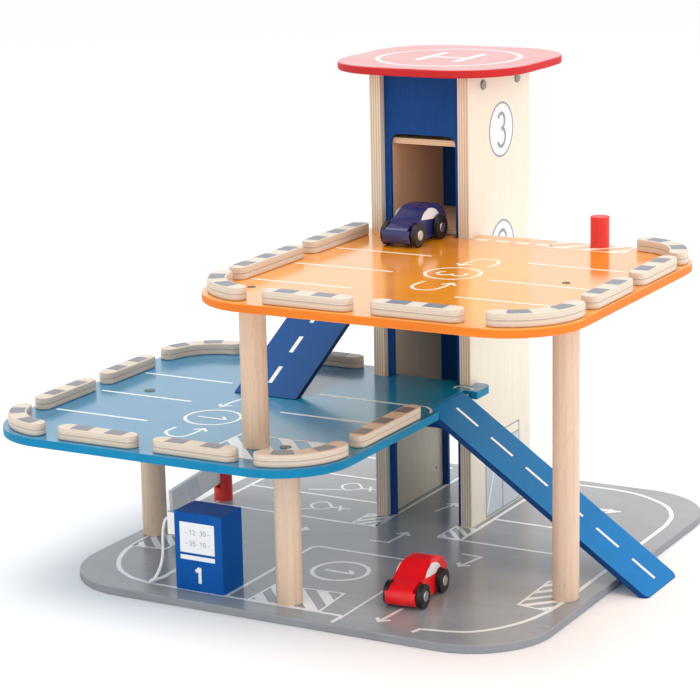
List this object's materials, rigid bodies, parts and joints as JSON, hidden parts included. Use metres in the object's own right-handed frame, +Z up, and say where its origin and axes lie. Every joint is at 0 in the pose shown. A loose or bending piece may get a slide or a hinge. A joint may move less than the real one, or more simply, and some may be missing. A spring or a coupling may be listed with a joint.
{
  "type": "toy parking garage with lift",
  "caption": "Wooden play garage with two decks on posts, ramps, a lift tower with a crank, a roof pad, a fuel pump, a boom barrier and toy cars.",
  "frame": {"origin": "middle of the base board's underside, on the floor", "axes": "+X to the right seen from the doorways, +Y to the tower's back, +Z up"},
  "size_m": [0.601, 0.5535, 0.478],
  "materials": {
    "beech": "satin",
    "blue_paint": "satin",
    "boom_paint": "satin",
    "cabin_wood": "satin",
    "car_blue": "gloss",
    "car_red": "gloss",
    "cord": "matt",
    "deck_blue": "satin",
    "deck_orange": "satin",
    "grey_paint": "satin",
    "kerb_ply": "satin",
    "peg_red": "satin",
    "ply": "satin",
    "ramp_blue": "satin",
    "red_paint": "satin",
    "steel": "satin",
    "wheel_black": "satin",
    "white_block": "satin",
    "white_hose": "matt"
  },
  "bodies": {
    "frame": {"base_board": "grey_paint", "tower_side_left": "ply", "tower_side_right": "ply", "tower_panel_front": "blue_paint", "tower_panel_back": "blue_paint", "tower_rail_front": "ply", "tower_rail_back": "ply", "rail_bolt_front": "steel", "rail_bolt_back": "steel", "helipad": "red_paint", "deck_level_1": "deck_blue", "deck_level_2": "deck_orange", "traffic_peg": "peg_red", "post_front_left": "beech", "post_front_middle": "beech", "post_upper": "beech", "post_right": "beech", "kerb_1_corner_front_left": "kerb_ply", "kerb_1_front_left": "kerb_ply", "kerb_1_front_right": "kerb_ply", "kerb_1_corner_front_right": "kerb_ply", "kerb_1_right": "kerb_ply", "kerb_1_left_front": "kerb_ply", "kerb_1_left_back": "kerb_ply", "kerb_1_corner_back_left": "kerb_ply", "kerb_1_back": "kerb_ply", "kerb_2_corner_front_left": "kerb_ply", "kerb_2_front_left": "kerb_ply", "kerb_2_front_right": "kerb_ply", "kerb_2_corner_front_right": "kerb_ply", "kerb_2_right_front": "kerb_ply", "kerb_2_right_back": "kerb_ply", "kerb_2_corner_back_right": "kerb_ply", "kerb_2_left_front": "kerb_ply", "kerb_2_left_back": "kerb_ply", "ramp_ground_pin": "steel", "ramp_upper_rod": "steel", "lift_cord": "cord", "fuel_pump": "blue_paint", "pump_nozzle": "white_block", "pump_hose": "white_hose", "boom_post": "peg_red", "boom_pin": "steel"},
    "cabin": {"cabin_floor": "cabin_wood", "cabin_roof": "cabin_wood", "cabin_side_left": "cabin_wood", "cabin_side_right": "cabin_wood"},
    "crank": {"crank_shaft": "beech", "crank_disc": "beech", "crank_knob": "peg_red"},
    "boom": {"boom_arm": "boom_paint"},
    "ramp_low": {"ramp_ground": "ramp_blue"},
    "ramp_high": {"ramp_upper": "ramp_blue"},
    "red_car": {"red_car_body": "car_red"},
    "red_car_front_wheels": {"red_car_axle_front": "wheel_black"},
    "red_car_rear_wheels": {"red_car_axle_rear": "wheel_black"},
    "blue_car": {"blue_car_body": "car_blue"},
    "blue_car_front_wheels": {"blue_car_axle_front": "wheel_black"},
    "blue_car_rear_wheels": {"blue_car_axle_rear": "wheel_black"}
  },
  "joints": [
    {"name": "lift_slide", "type": "slide", "parent": "frame", "child": "cabin", "axis": [0, 0, 1], "range_m": [-0.3, 0], "deforming": ["lift_cord"]},
    {"name": "crank_turn", "type": "hinge", "parent": "frame", "child": "crank", "pos_m": [-0.0133, 0.125, 0.438], "axis": [0, 1, 0], "range_deg": [0, 1293]},
    {"name": "boom_pivot", "type": "hinge", "parent": "frame", "child": "boom", "pos_m": [-0.23, 0.0345, 0.041], "axis": [-1, 0, 0], "range_deg": [0, 80]},
    {"name": "ramp_ground_tilt", "type": "hinge", "parent": "frame", "child": "ramp_low", "pos_m": [0.0625, -0.011, 0.154], "axis": [0, -1, 0], "range_deg": [0, 60]},
    {"name": "ramp_upper_tilt", "type": "hinge", "parent": "frame", "child": "ramp_high", "pos_m": [-0.1124, 0.16732, 0.27582], "axis": [-1, 0, 0], "range_deg": [0, 70]},
    {"name": "red_car_roll", "type": "slide", "parent": "frame", "child": "red_car", "axis": [0.0872, -0.9962, 0], "range_m": [-0.15, 0.05]},
    {"name": "red_car_front_spin", "type": "hinge", "parent": "red_car", "child": "red_car_front_wheels", "pos_m": [0.1022, -0.1834, 0.0198], "axis": [0.9962, 0.0872, 0], "continuous": true},
    {"name": "red_car_rear_spin", "type": "hinge", "parent": "red_car", "child": "red_car_rear_wheels", "pos_m": [0.09802, -0.13558, 0.0198], "axis": [0.9962, 0.0872, 0], "continuous": true},
    {"name": "blue_car_roll", "type": "slide", "parent": "frame", "child": "blue_car", "axis": [0, -1, 0], "range_m": [0, 0.2]},
    {"name": "blue_car_front_spin", "type": "hinge", "parent": "blue_car", "child": "blue_car_front_wheels", "pos_m": [0.009, -0.0034, 0.3198], "axis": [1, 0, 0], "continuous": true},
    {"name": "blue_car_rear_spin", "type": "hinge", "parent": "blue_car", "child": "blue_car_rear_wheels", "pos_m": [0.009, 0.0446, 0.3198], "axis": [1, 0, 0], "continuous": true}
  ],
  "couplings": [
    {"joint": "crank_turn", "follows": "lift_slide", "rad_per_m": -75.188},
    {"joint": "red_car_front_spin", "follows": "red_car_roll", "rad_per_m": 86.957},
    {"joint": "red_car_rear_spin", "follows": "red_car_roll", "rad_per_m": 86.957},
    {"joint": "blue_car_front_spin", "follows": "blue_car_roll", "rad_per_m": 86.957},
    {"joint": "blue_car_rear_spin", "follows": "blue_car_roll", "rad_per_m": 86.957}
  ]
}
